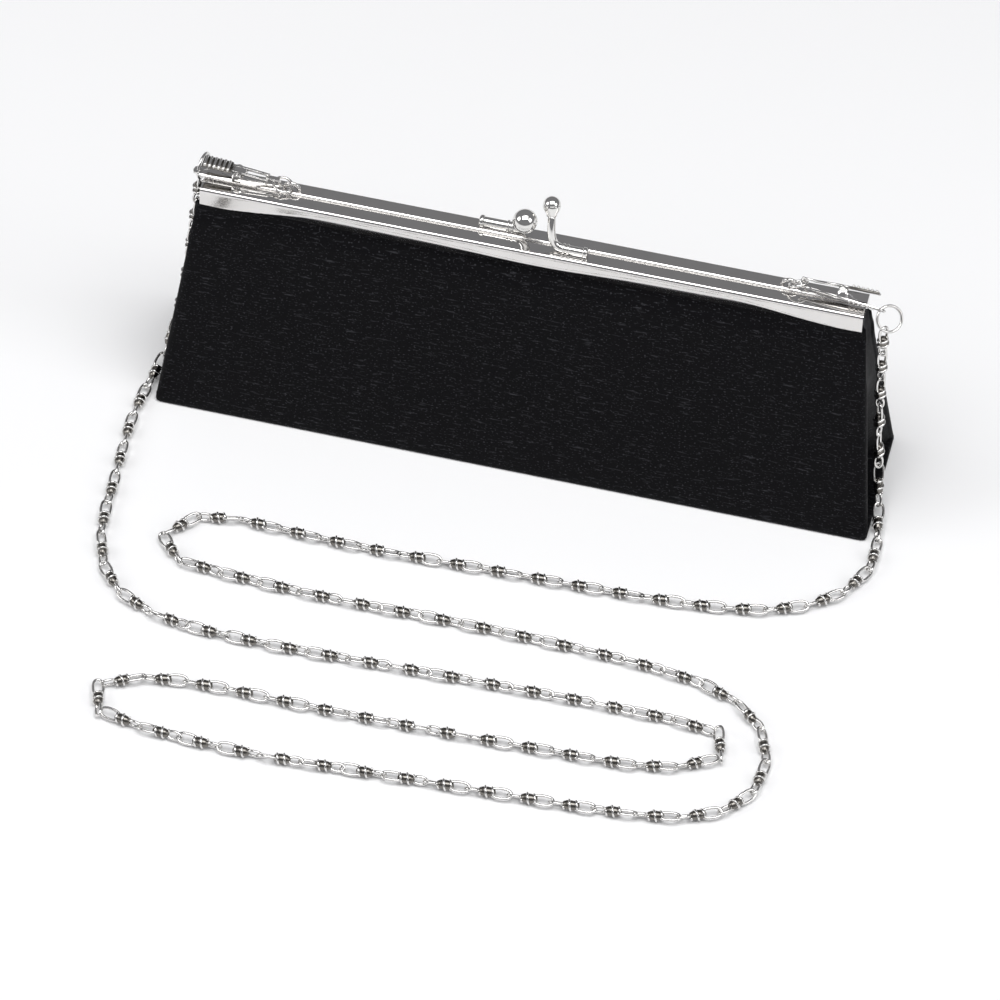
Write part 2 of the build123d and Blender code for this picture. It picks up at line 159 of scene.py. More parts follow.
def soft_box(low, high, bevel=0.15):
    """A small block with chamfered edges between two corners."""
    verts = []
    layers = ((low[2], bevel), (low[2] + bevel, 0), (high[2] - bevel, 0), (high[2], bevel))
    for z, inset in layers:
        x0, x1 = low[0] + inset, high[0] - inset
        y0, y1 = low[1] + inset, high[1] - inset
        verts += [
            (x0 + bevel, y0, z), (x1 - bevel, y0, z), (x1, y0 + bevel, z), (x1, y1 - bevel, z),
            (x1 - bevel, y1, z), (x0 + bevel, y1, z), (x0, y1 - bevel, z), (x0, y0 + bevel, z),
        ]
    return verts, ring_faces(4, 8, False, True)


def smoothstep(t):
    """0 below 0, 1 above 1, and an even rise between them."""
    t = max(0.0, min(1.0, t))
    return t * t * (3 - 2 * t)


# ---------------------------------------------------------------- materials
def nodes_of(material):
    """A new material's nodes, its links and its shader."""
    material.use_nodes = True
    tree = material.node_tree
    return tree.nodes, tree.links, tree.nodes["Principled BSDF"]


def polished(name, color, rough_low, rough_high, wave=0.0, scratch=0.02):
    """Plated metal: cloudy wear in the roughness, fine scratches, and the slow waviness of pressed sheet."""
    material = bpy.data.materials.new(name)
    nodes, links, shader = nodes_of(material)
    shader.inputs["Metallic"].default_value = 1.0
    coords = nodes.new("ShaderNodeTexCoord")
    cloud = nodes.new("ShaderNodeTexNoise")
    cloud.inputs["Scale"].default_value = 140
    cloud.inputs["Detail"].default_value = 5
    links.new(coords.outputs["Object"], cloud.inputs["Vector"])
    rough = nodes.new("ShaderNodeMapRange")
    rough.inputs["To Min"].default_value = rough_low
    rough.inputs["To Max"].default_value = rough_high
    links.new(cloud.outputs["Fac"], rough.inputs["Value"])
    links.new(rough.outputs["Result"], shader.inputs["Roughness"])
    tint = nodes.new("ShaderNodeMixRGB")
    tint.inputs["Color1"].default_value = (*[c * 0.86 for c in color], 1)
    tint.inputs["Color2"].default_value = (*color, 1)
    links.new(cloud.outputs["Fac"], tint.inputs["Fac"])
    links.new(tint.outputs["Color"], shader.inputs["Base Color"])
    stretch = nodes.new("ShaderNodeMapping")
    stretch.inputs["Scale"].default_value = (250, 5000, 5000)
    links.new(coords.outputs["Object"], stretch.inputs["Vector"])
    lines = nodes.new("ShaderNodeTexNoise")
    lines.inputs["Scale"].default_value = 1
    links.new(stretch.outputs["Vector"], lines.inputs["Vector"])
    fine = nodes.new("ShaderNodeBump")
    fine.inputs["Strength"].default_value = scratch
    fine.inputs["Distance"].default_value = 0.0001
    links.new(lines.outputs["Fac"], fine.inputs["Height"])
    if wave:
        slow = nodes.new("ShaderNodeTexNoise")
        slow.inputs["Scale"].default_value = 22
        slow.inputs["Detail"].default_value = 1
        links.new(coords.outputs["Object"], slow.inputs["Vector"])
        dents = nodes.new("ShaderNodeBump")
        dents.inputs["Strength"].default_value = 1.0
        dents.inputs["Distance"].default_value = wave
        links.new(slow.outputs["Fac"], dents.inputs["Height"])
        links.new(dents.outputs["Normal"], fine.inputs["Normal"])
    links.new(fine.outputs["Normal"], shader.inputs["Normal"])
    return material


def satin_material():
    """Black slub satin: short paler slubs along the cloth, a fine weave, and faint glints of the weft painted
    into the base colour as pale flecks.
    """
    material = bpy.data.materials.new("black_slub_satin")
    nodes, links, shader = nodes_of(material)
    coords = nodes.new("ShaderNodeUVMap")
    coords.uv_map = "cloth"

    def stretched_noise(scale_x, scale_y, detail):
        mapping = nodes.new("ShaderNodeMapping")
        mapping.inputs["Scale"].default_value = (scale_x, scale_y, 1)
        links.new(coords.outputs["UV"], mapping.inputs["Vector"])
        noise = nodes.new("ShaderNodeTexNoise")
        noise.inputs["Scale"].default_value = 1
        noise.inputs["Detail"].default_value = detail
        links.new(mapping.outputs["Vector"], noise.inputs["Vector"])
        return noise.outputs["Fac"]

    def above(value, low, high):
        ramp = nodes.new("ShaderNodeMapRange")
        ramp.inputs["From Min"].default_value = low
        ramp.inputs["From Max"].default_value = high
        links.new(value, ramp.inputs["Value"])
        return ramp.outputs["Result"]

    slub = above(stretched_noise(190, 1300, 3), 0.60, 0.76)
    # painted glint: fine pale flecks in the base colour where the weft would catch the light
    painted_glint = above(stretched_noise(1300, 2100, 0), 0.66, 0.80)
    weave = stretched_noise(900, 4200, 1)
    # the paler colour carries both the real slubs and the painted glints
    both = nodes.new("ShaderNodeMath")
    both.operation = "ADD"
    both.use_clamp = True
    links.new(slub, both.inputs[0])
    links.new(painted_glint, both.inputs[1])
    color = nodes.new("ShaderNodeMixRGB")
    color.inputs["Color1"].default_value = (0.0018, 0.0018, 0.0026, 1)
    color.inputs["Color2"].default_value = (0.034, 0.034, 0.039, 1)
    links.new(both.outputs["Value"], color.inputs["Fac"])
    links.new(color.outputs["Color"], shader.inputs["Base Color"])
    shader.inputs["Roughness"].default_value = 0.62
    shader.inputs["Specular IOR Level"].default_value = 0.10
    shader.inputs["Sheen Weight"].default_value = 0.02
    shader.inputs["Sheen Roughness"].default_value = 0.35
    height = nodes.new("ShaderNodeMath")
    height.operation = "MULTIPLY_ADD"
    height.inputs[1].default_value = 1.6
    links.new(slub, height.inputs[0])
    links.new(weave, height.inputs[2])
    bump = nodes.new("ShaderNodeBump")
    bump.inputs["Strength"].default_value = 0.35
    bump.inputs["Distance"].default_value = 0.00012
    links.new(height.outputs["Value"], bump.inputs["Height"])
    links.new(bump.outputs["Normal"], shader.inputs["Normal"])
    return material


def fibrous(name, color, scale, roughness, contrast=0.3, bump_height=0.0001):
    """Matt card, paper or lining cloth with a grain."""
    material = bpy.data.materials.new(name)
    nodes, links, shader = nodes_of(material)
    coords = nodes.new("ShaderNodeTexCoord")
    grain = nodes.new("ShaderNodeTexNoise")
    grain.inputs["Scale"].default_value = scale
    grain.inputs["Detail"].default_value = 6
    links.new(coords.outputs["Object"], grain.inputs["Vector"])
    tint = nodes.new("ShaderNodeMixRGB")
    tint.inputs["Color1"].default_value = (*[c * (1 - contrast) for c in color], 1)
    tint.inputs["Color2"].default_value = (*color, 1)
    links.new(grain.outputs["Fac"], tint.inputs["Fac"])
    links.new(tint.outputs["Color"], shader.inputs["Base Color"])
    shader.inputs["Roughness"].default_value = roughness
    bump = nodes.new("ShaderNodeBump")
    bump.inputs["Strength"].default_value = 0.4
    bump.inputs["Distance"].default_value = bump_height
    links.new(grain.outputs["Fac"], bump.inputs["Height"])
    links.new(bump.outputs["Normal"], shader.inputs["Normal"])
    return material


frame_metal = polished("frame_silver", (0.80, 0.785, 0.77), 0.05, 0.12, wave=0.00018)
clasp_metal = polished("clasp_silver", (0.84, 0.83, 0.81), 0.04, 0.09)
hardware_metal = polished("hardware_silver", (0.80, 0.79, 0.775), 0.07, 0.16)
chain_metal = polished("chain_silver", (0.80, 0.79, 0.775), 0.07, 0.17)
# painted shade: a dark metal that stands for the shade deep in each chain link's rolled barrel, and is also
# laid on the clip levers' pads
painted_shade_metal = polished("dark_metal_painted_shade", (0.20, 0.19, 0.175), 0.16, 0.32)
spring_metal = polished("spring_wire", (0.45, 0.45, 0.46), 0.2, 0.32)
satin = satin_material()
lining_cloth = fibrous("lining_cloth", (0.030, 0.030, 0.036), 1800, 0.7)
board_card = fibrous("board_card", (0.42, 0.40, 0.36), 900, 0.9)
paper = fibrous("paper_twist", (0.60, 0.52, 0.38), 1500, 0.85)


# ---------------------------------------------------------------- chain strap
LINK_PITCH = 13.4
RING_LEAD = 1.6  # how far the first link reaches back into its ring
FLOOR_LINE = 2.3  # height of the chain's middle where it lies down

LEFT_ROUTE = [
    (-112.6, 6.0, 79.0), (-114.6, 6.4, 58.0), (-117.0, 4.5, 32.0), (-119.6, 1.0, 13.0), (-121.8, -9.0, 3.4),
    (-124.2, -21.0, FLOOR_LINE), (-125.2, -38.0, FLOOR_LINE), (-123.0, -62.0, FLOOR_LINE),
    (-122.0, -86.0, FLOOR_LINE), (-113.0, -107.5, FLOOR_LINE), (-92.0, -117.5, FLOOR_LINE),
    (-58.0, -118.8, FLOOR_LINE), (-18.0, -117.2, FLOOR_LINE), (22.0, -116.0, FLOOR_LINE),
    (56.0, -115.4, FLOOR_LINE), (80.0, -115.6, FLOOR_LINE), (93.0, -118.0, FLOOR_LINE),
    (95.5, -124.5, FLOOR_LINE), (87.0, -132.5, FLOOR_LINE), (70.0, -137.5, FLOOR_LINE),
    (38.0, -138.4, FLOOR_LINE), (0.0, -139.8, FLOOR_LINE), (-36.0, -140.4, FLOOR_LINE),
    (-68.0, -139.6, FLOOR_LINE), (-91.0, -141.3, FLOOR_LINE), (-103.5, -147.5, FLOOR_LINE),
    (-105.5, -156.0, FLOOR_LINE), (-96.0, -160.5, FLOOR_LINE), (-78.0, -163.0, FLOOR_LINE),
    (-48.0, -163.9, FLOOR_LINE), (-18.0, -161.9, FLOOR_LINE), (6.0, -160.6, FLOOR_LINE),
]
RIGHT_ROUTE = [
    (116.6, -6.4, 81.4), (116.8, -3.6, 59.0), (117.8, -2.6, 32.0), (119.6, -5.0, 13.0), (121.8, -12.0, 3.5),
    (123.8, -23.0, FLOOR_LINE), (125.0, -36.0, FLOOR_LINE), (116.5, -52.0, FLOOR_LINE),
    (99.0, -62.5, FLOOR_LINE), (76.0, -66.8, FLOOR_LINE), (42.0, -68.4, FLOOR_LINE),
    (4.0, -69.2, FLOOR_LINE), (-34.0, -70.8, FLOOR_LINE), (-62.0, -70.0, FLOOR_LINE),
    (-85.0, -68.6, FLOOR_LINE), (-98.0, -75.0, FLOOR_LINE), (-101.5, -85.0, FLOOR_LINE),
    (-94.0, -91.5, FLOOR_LINE), (-78.0, -93.0, FLOOR_LINE), (-46.0, -94.6, FLOOR_LINE),
    (-8.0, -93.8, FLOOR_LINE), (30.0, -94.2, FLOOR_LINE), (62.0, -95.4, FLOOR_LINE),
    (86.0, -99.0, FLOOR_LINE), (102.5, -108.5, FLOOR_LINE), (109.5, -126.0, FLOOR_LINE),
    (105.5, -144.0, FLOOR_LINE), (89.0, -154.5, FLOOR_LINE), (62.0, -157.8, FLOOR_LINE),
    (30.0, -159.3, FLOOR_LINE), (6.0, -160.6, FLOOR_LINE),
]


def smooth_line(route):
    """Points, in metres, of the smooth curve that has the route's points as its control points."""
    curve = bpy.data.curves.new("route", "CURVE")
    curve.dimensions = "3D"
    curve.resolution_u = 24
    spline = curve.splines.new("NURBS")
    spline.points.add(len(route) - 1)
    for point, place in zip(spline.points, route):
        point.co = (*[c * MM for c in place], 1)
    spline.order_u = 3
    spline.use_endpoint_u = True
    guide = bpy.data.objects.new("route", curve)
    mesh = bpy.data.meshes.new_from_object(guide)
    line = [v.co.copy() for v in mesh.vertices]
    bpy.data.objects.remove(guide)
    bpy.data.meshes.remove(mesh)
    return line


def loop_points(center, half_length, half_width, roll, count=22, power=2.5):
    """A rounded closed loop in a plane that is turned by roll degrees about the link's own axis."""
    points = []
    turn = Matrix.Rotation(math.radians(roll), 3, "X")
    for i in range(count):
        angle = 2 * math.pi * i / count
        c, s = math.cos(angle), math.sin(angle)
        x = math.copysign(abs(c) ** (2 / power), c) * half_length
        y = math.copysign(abs(s) ** (2 / power), s) * half_width
        points.append(turn @ Vector((x, y, 0)) + Vector((center, 0, 0)))
    return points, turn @ Vector((0, 0, 1))


def link_shape():
    """One snail link, one pitch from hold to hold: an open loop, a rolled barrel and a narrow eye."""
    link = Parts()
    points, normal = loop_points(-4.1, 3.35, 1.65, 0)
    link.add(*wire(points, 0.47, 8, True, normal))
    points, normal = loop_points(4.9, 2.35, 1.25, 62, 18, 2.2)
    link.add(*wire(points, 0.47, 8, True, normal))
    barrel = [(-2.4, 0.35), (-2.1, 1.0), (-1.2, 1.5), (0.4, 1.62), (1.9, 1.45), (2.9, 1.0), (3.2, 0.35)]
    turn = Matrix.Rotation(math.radians(90), 4, "Y")
    verts, faces = lathe([(radius, x) for x, radius in barrel], 14)
    # the barrel's core is dark metal, painted shade of the hollow inside its coil
    link.add(verts, faces, turn, 1)
    coil = []
    turns, steps = 2.1, 44
    for i in range(steps + 1):
        t = i / steps
        angle = 2 * math.pi * turns * t
        radius = 1.72 - 0.45 * abs(2 * t - 1) ** 2.2
        coil.append((-2.0 + 4.7 * t, radius * math.cos(angle), radius * math.sin(angle)))
    link.add(*wire(coil, 0.38, 7))
    return link


def chain_half(name, route, seed):
    """Snail links threaded along a route, each rolled by chance. The first one starts inside its ring."""
    line = smooth_line(route)
    steps = [0.0]
    for a, b in zip(line, line[1:]):
        steps.append(steps[-1] + (b - a).length)
    total = steps[-1] / MM + RING_LEAD
    count = round(total / LINK_PITCH)
    pitch = total / count
    shape = link_shape()
    chance = random.Random(seed)
    chain = Parts()

    def at(distance):
        """The place on the line, in millimetres, at a distance along it in metres."""
        distance = max(0.0, min(steps[-1], distance))
        i = min(len(steps) - 2, max(0, int(np.searchsorted(steps, distance)) - 1))
        t = (distance - steps[i]) / (steps[i + 1] - steps[i])
        return line[i].lerp(line[i + 1], t) / MM

    for i in range(count):
        middle = (pitch * (i + 0.5) - RING_LEAD) * MM
        reach = 0.5 * pitch * MM
        front, rear = at(middle + reach), at(middle - reach)
        ahead = (front - rear).normalized()
        side = Vector((0, 0, 1)).cross(ahead)
        if side.length < 0.3:
            side = Vector((0, 1, 0))
        side.normalize()
        above = ahead.cross(side).normalized()
        turn = Matrix((ahead, side, above)).transposed().to_4x4()
        roll = Matrix.Rotation(math.radians(chance.uniform(-45, 45)), 4, "X")
        stretch = Matrix.Diagonal((pitch / LINK_PITCH, 1, 1, 1))
        # a straight link on a bend lies between the line and its own chord
        center = at(middle) * 0.5 + (front + rear) * 0.25
        place = Matrix.Translation(center) @ turn @ roll @ stretch
        chain.add_copy(shape, place)
    piece = chain.build(name + "_links", [chain_metal, painted_shade_metal], "silver_chain")
    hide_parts(name)
    return piece


left_links = chain_half("left_chain", LEFT_ROUTE, seed=11)
right_links = chain_half("right_chain", RIGHT_ROUTE, seed=23)
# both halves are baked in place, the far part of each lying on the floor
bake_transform(left_links)
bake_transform(right_links)


# ---------------------------------------------------------------- satin body
HALF_LENGTH = 120.0
HALF_DEPTH = 24.5
LEAN = 18.7 / 76.4
TAPER = 10.5 / 85.0
# the cloth turns in under the bar from TUCK_LOW over TUCK_RISE, to this half depth
TUCK_LOW, TUCK_RISE, TUCKED_DEPTH = 71.5, 5.0, 3.4
# from here, over this length, it stands further out, over the steel arms
ARMS_START, ARMS_EASE, ARMS_ROOM = 62.0, 42.0, 1.75
FRONT_BOARD_TOP, BACK_BOARD_TOP = 56.0, 66.0
LONG_COUNT, END_COUNT = 72, 24  # points along each wall and across each end of the cloth
SIDE_COUNT = LONG_COUNT + END_COUNT
AROUND = 2 * SIDE_COUNT


def over_arms(x):
    """0 along the middle of the purse, rising to 1 over the steel arms at both ends."""
    return smoothstep((abs(x) - ARMS_START) / ARMS_EASE)


def wall_y(z, x=HALF_LENGTH):
    """Half depth of the cloth: a leaning wall, tucked in under the bar, and less so over the steel arms."""
    tuck = smoothstep((z - TUCK_LOW) / TUCK_RISE)
    return (HALF_DEPTH - LEAN * z) * (1 - tuck) + (TUCKED_DEPTH + ARMS_ROOM * over_arms(x)) * tuck


def side_x(z):
    """Half length of the bag at a height."""
    return HALF_LENGTH - TAPER * z


def wrap(sign, z):
    """How far the cloth turns round the end of the front (-1) or back (+1) wall: less above its board."""
    board_top = FRONT_BOARD_TOP if sign < 0 else BACK_BOARD_TOP
    return 3.4 - 2.3 * smoothstep((z - board_top) / 5)


def section(z_of, inset, half_at):
    """One closed ring of points round the bag.

    z_of turns a share into a height. The share is 0 on the walls and rises to 1 at the middle of each end.
    """
    points = []
    for sign in (-1, 1):
        z = z_of(0.0)
        for i in range(LONG_COUNT):
            t = i / LONG_COUNT * 2 - 1
            x = -sign * t * (half_at(z) - inset)
            points.append((x, sign * (wall_y(z, x) - inset), z))
        for i in range(END_COUNT):
            z = z_of(math.sin(math.pi * i / END_COUNT))
            near = max(0.4, wall_y(z) - inset - wrap(sign, z))
            far = max(0.4, wall_y(z) - inset - wrap(-sign, z))
            # round the end of one wall, along the pleat, and round the end of the other wall
            share = max(0.0, min(1.0, (i - 2) / (END_COUNT - 4)))
            y = wall_y(z) - inset if i == 0 else near * (1 - share) - far * share
            pleat = max(1.0, 11.0 * (1 - z / 54.0)) * math.sin(math.pi * share) ** 1.4
            step = 0.0 if i in (0, 1, END_COUNT - 1) else 0.8
            points.append((-sign * (half_at(z) - inset - step - pleat), sign * y, z))
    return points


def cloth_tube(name, rows, inset, low, top, ear, half_at, material, slot):
    """A tube of cloth round the bag, open above and below, with its UVs in metres along and up the cloth."""
    verts = []
    for k in range(rows + 1):
        share = k / rows
        height = low + (top - low) * share
        verts += section(lambda peak: low + (top + ear * peak - low) * share, inset(height), half_at)
    parts = Parts()
    parts.add(verts, ring_faces(rows + 1, AROUND, False, False))
    piece = parts.build(name, [material], slot)
    layer = piece.data.uv_layers.new(name="cloth")
    along = 2 * (HALF_LENGTH * 2 + HALF_DEPTH * 2) / AROUND
    for polygon in piece.data.polygons:
        row, column = divmod(polygon.index, AROUND)
        for loop, (du, dv) in zip(polygon.loop_indices, ((0, 0), (1, 0), (1, 1), (0, 1))):
            layer.data[loop].uv = ((column + du) * along * MM, (row + dv) * (top - low) / rows * MM)
    return piece


def settle(piece, pinned, pressure, most):
    """Cloth simulation: pinned points hold and the rest swells a little, by no more than most metres."""
    group = piece.vertex_groups.new(name="pin")
    for index, weight in pinned:
        group.add([index], weight, "REPLACE")
    cloth = piece.modifiers.new("cloth", "CLOTH")
    cloth.settings.quality = 6
    cloth.settings.mass = 0.05
    cloth.settings.tension_stiffness = 12
    cloth.settings.compression_stiffness = 8
    cloth.settings.bending_stiffness = 0.4
    cloth.settings.vertex_group_mass = "pin"
    cloth.settings.use_pressure = True
    cloth.settings.uniform_pressure_force = pressure
    cloth.settings.effector_weights.gravity = 0
    cloth.collision_settings.use_collision = False
    rest = [v.co.copy() for v in piece.data.vertices]
    for number in range(1, 21):
        scene.frame_set(number)
    evaluated = piece.evaluated_get(bpy.context.evaluated_depsgraph_get())
    swollen = [v.co.copy() for v in evaluated.data.vertices]
    piece.modifiers.remove(cloth)
    scene.frame_set(1)
    for vertex, before, after in zip(piece.data.vertices, rest, swollen):
        move = after - before
        if move.length > most:
            move *= most / move.length
        vertex.co = before + move
    piece.data.update()


def thicken(piece, thickness):
    """Gives a sheet its thickness, in millimetres and inwards, and one subdivision, both applied."""
    solid = piece.modifiers.new("thickness", "SOLIDIFY")
    solid.thickness = thickness * MM
    solid.offset = -1
    smooth = piece.modifiers.new("smooth", "SUBSURF")
    smooth.levels = 1
    smooth.render_levels = 1
    evaluated = piece.evaluated_get(bpy.context.evaluated_depsgraph_get())
    mesh = bpy.data.meshes.new_from_object(evaluated)
    piece.modifiers.clear()
    piece.data = mesh


ROWS = 40
satin_body = cloth_tube(
    "satin_body", ROWS, lambda z: 0.0, 0.4, 78.2, 4.0, lambda z: side_x(z) + 0.45, satin, "satin"
)
corner_columns = [
    side * SIDE_COUNT + column
    for side in (0, 1)
    for column in (0, LONG_COUNT, LONG_COUNT + 2, SIDE_COUNT - 2)
]
held = []
for index in range((ROWS + 1) * AROUND):
    row, column = divmod(index, AROUND)
    near_corner = min(min((column - c) % AROUND, (c - column) % AROUND) for c in corner_columns)
    hold = 1.0 if row == 0 or row >= ROWS - 3 else max(0.0, 1 - near_corner / 3)
    held.append((index, max(0.15, hold)))
settle(satin_body, held, pressure=1.2, most=0.0012)
thicken(satin_body, 0.8)
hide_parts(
    "front_fabric", "back_fabric", "front_fold_fabric", "front_top_fabric",
    "left_gusset", "right_gusset", "left_gusset_top", "right_gusset_top",
)
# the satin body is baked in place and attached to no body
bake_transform(satin_body)


def flat_cloth(name, corners_at, rows, columns, material, slot):
    """A cloth grid from a function of two shares, with UVs in metres."""
    verts = [corners_at(i / columns, k / rows) for k in range(rows + 1) for i in range(columns + 1)]
    faces = []
    for k in range(rows):
        for i in range(columns):
            a = k * (columns + 1) + i
            faces.append([a, a + 1, a + columns + 2, a + columns + 1])
    parts = Parts()
    parts.add(verts, faces)
    piece = parts.build(name, [material], slot)
    layer = piece.data.uv_layers.new(name="cloth")
    for loop in piece.data.loops:
        place = piece.data.vertices[loop.vertex_index].co
        layer.data[loop.index].uv = (place.x, place.y)
    return piece


def padded_base():
    """The satin-covered base: a flat pad with rounded rims, a little inside the walls."""
    rows = ((0.12, 1.3), (0.2, 0.7), (0.5, 0.25), (1.0, 0.0), (2.4, 0.0), (2.9, 0.25), (3.2, 0.7), (3.3, 1.3))
    verts = []
    for z, inset in rows:
        for corner_x, corner_y, start in ((1, 1, 0), (-1, 1, 90), (-1, -1, 180), (1, -1, 270)):
            for i in range(7):
                angle = math.radians(start + 15 * i)
                x = corner_x * (119.0 - inset) + 1.2 * math.cos(angle)
                y = corner_y * (22.0 - inset) + 1.2 * math.sin(angle)
                verts.append((x, y, z))
    parts = Parts()
    parts.add(verts, ring_faces(len(rows), 28, False, True))
    piece = parts.build("satin_base", [satin], "satin")
    layer = piece.data.uv_layers.new(name="cloth")
    for loop in piece.data.loops:
        place = piece.data.vertices[loop.vertex_index].co
        layer.data[loop.index].uv = (place.x, place.y + place.z)
    return piece


satin_base = padded_base()
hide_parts("base_fabric")
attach(satin_base, "bag")


def lining_inset(z):
    """How far the lining lies inside the satin, which is less above the boards."""
    return 2.9 - 2.0 * smoothstep((z - 64) / 10)


def lining_half(z):
    """Half length of the lining, which draws in towards the top."""
    return min(side_x(z) - 0.3, 107.0 + 14 * (1 - smoothstep((z - 30) / 18)))


lining_bag = cloth_tube(
    "lining_bag", 26, lining_inset, 3.4, 76.6, 0.0, lining_half, lining_cloth, "lining"
)
thicken(lining_bag, 0.4)
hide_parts("front_lining", "back_lining")
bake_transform(lining_bag)
lining_floor = flat_cloth(
    "lining_floor",
    lambda s, t: ((2 * s - 1) * 108, (2 * t - 1) * 20.2, 3.75 + 0.25 * math.sin(9 * s) * math.sin(7 * t)),
    12, 60, lining_cloth, "lining",
)
thicken(lining_floor, 0.3)
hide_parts("base_lining")
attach(lining_floor, "bag")


# ---------------------------------------------------------------- frame and clasp
BAR_HALF = 109.5
BAR_TOP = 85.0
BAR_DEPTH = 5.8
BAR_WALL = 0.5
LIP_DEPTH = 0.05  # how far a bar's inner lip stands from the plane between the bars
ROLL_MOST = 1.75  # how far the lower rim of a face is rolled in
TOP_LOW = BAR_TOP - 1.15  # where the rounded outer edge becomes the face


def face_low(x):
    """Lower rim of a bar's face: it bows down towards the middle of the purse."""
    return 78.0 - 1.6 * (1 - (x / BAR_HALF) ** 2)


def rolled(x, share):
    """How far a bar's face has rolled in under the bar, for each share of the way down it."""
    flat = 0.10 + 0.38 * math.exp(-((x / 42) ** 2)) + 0.03 * math.sin(x * 0.11 + 1.0)
    flat += 0.9 * over_arms(x)
    if share <= flat:
        return 0.0
    return ROLL_MOST * ((share - flat) / max(0.1, 1 - flat)) ** 1.25


def bar_section(x, outer):
    """Half of a bar's section at x, from its inner lip over the top to its lower rim, as (depth, height)."""
    inset = 0 if outer else BAR_WALL
    path = [(LIP_DEPTH + inset, BAR_TOP - 3.4), (LIP_DEPTH + inset, BAR_TOP - 1.35)]
    round_in, round_out = 1.25 - inset, 1.15 - inset
    for i in range(1, 8):
        angle = math.pi / 2 * i / 8
        across, down = round_in * (1 - math.cos(angle)), round_in * (1 - math.sin(angle))
        path.append((LIP_DEPTH + inset + across, BAR_TOP - inset - down))
    for i in range(7):
        share = i / 6
        depth = 1.3 + (BAR_DEPTH - 2.45) * share
        path.append((depth, BAR_TOP - inset + 0.08 * math.sin(math.pi * share)))
    for i in range(1, 8):
        angle = math.pi / 2 * i / 8
        across, down = round_out * (1 - math.sin(angle)), round_out * (1 - math.cos(angle))
        path.append((BAR_DEPTH - inset - across, BAR_TOP - inset - down))
    for i in range(13):
        share = i / 12
        height = TOP_LOW + (face_low(x) - TOP_LOW) * share
        path.append((BAR_DEPTH - inset - rolled(x, share), height))
    return path


def pressed_bar(name, sign):
    """One pressed channel bar with rounded edges, a bowed lower rim and closed ends."""
    near_end = [0.35 * k for k in range(3)]
    stations = [-BAR_HALF + step for step in near_end]
    stations += [-BAR_HALF + 2 + (2 * BAR_HALF - 4) * k / 110 for k in range(111)]
    stations += [BAR_HALF - step for step in reversed(near_end)]
    verts = []
    for x in stations:
        loop = bar_section(x, True) + bar_section(x, False)[::-1]
        verts += [(x, sign * depth, height) for depth, height in loop]
    count = len(verts) // len(stations)
    parts = Parts()
    parts.add(verts, ring_faces(len(stations), count, False, False))
    half = count // 2
    for end in (0, len(stations) - 1):
        # a plate across the end of the channel
        rim = verts[end * count:end * count + half]
        parts.add(rim, [list(range(half))])
    return parts.build(name, [frame_metal], "silver_frame")


for bar_name, bar_sign, bar_node, bar_body in (
    ("front_pressed_bar", -1, "front_bar", "front_frame"), ("back_pressed_bar", 1, "back_bar", "bag"),
):
    bar = pressed_bar(bar_name, bar_sign)
    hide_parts(bar_node)
    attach(bar, bar_body)


def twisted_cord(name, node, sign, body):
    """The paper cord in a bar: three strands twisted together."""
    parts = Parts()
    y, z = sign * 3.05, 82.1
    for strand in range(3):
        points = []
        for i in range(241):
            x = -104 + 208 * i / 240
            angle = x * 0.75 + strand * 2 * math.pi / 3
            points.append((x, y + 0.72 * math.cos(angle), z + 0.72 * math.sin(angle)))
        parts.add(*wire(points, 0.7, 8))
    piece = parts.build(name, [paper], "paper_cord")
    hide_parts(node)
    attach(piece, body)


twisted_cord("front_paper_cord", "front_wedge_cord", -1, "front_frame")
twisted_cord("back_paper_cord", "back_wedge_cord", 1, "bag")


def bezier(points, count):
    """Points of one smooth cubic between four control points."""
    a, b, c, d = [Vector(p) for p in points]
    line = []
    for i in range(count + 1):
        t = i / count
        line.append(a * (1 - t) ** 3 + b * 3 * t * (1 - t) ** 2 + c * 3 * t * t * (1 - t) + d * t**3)
    return line


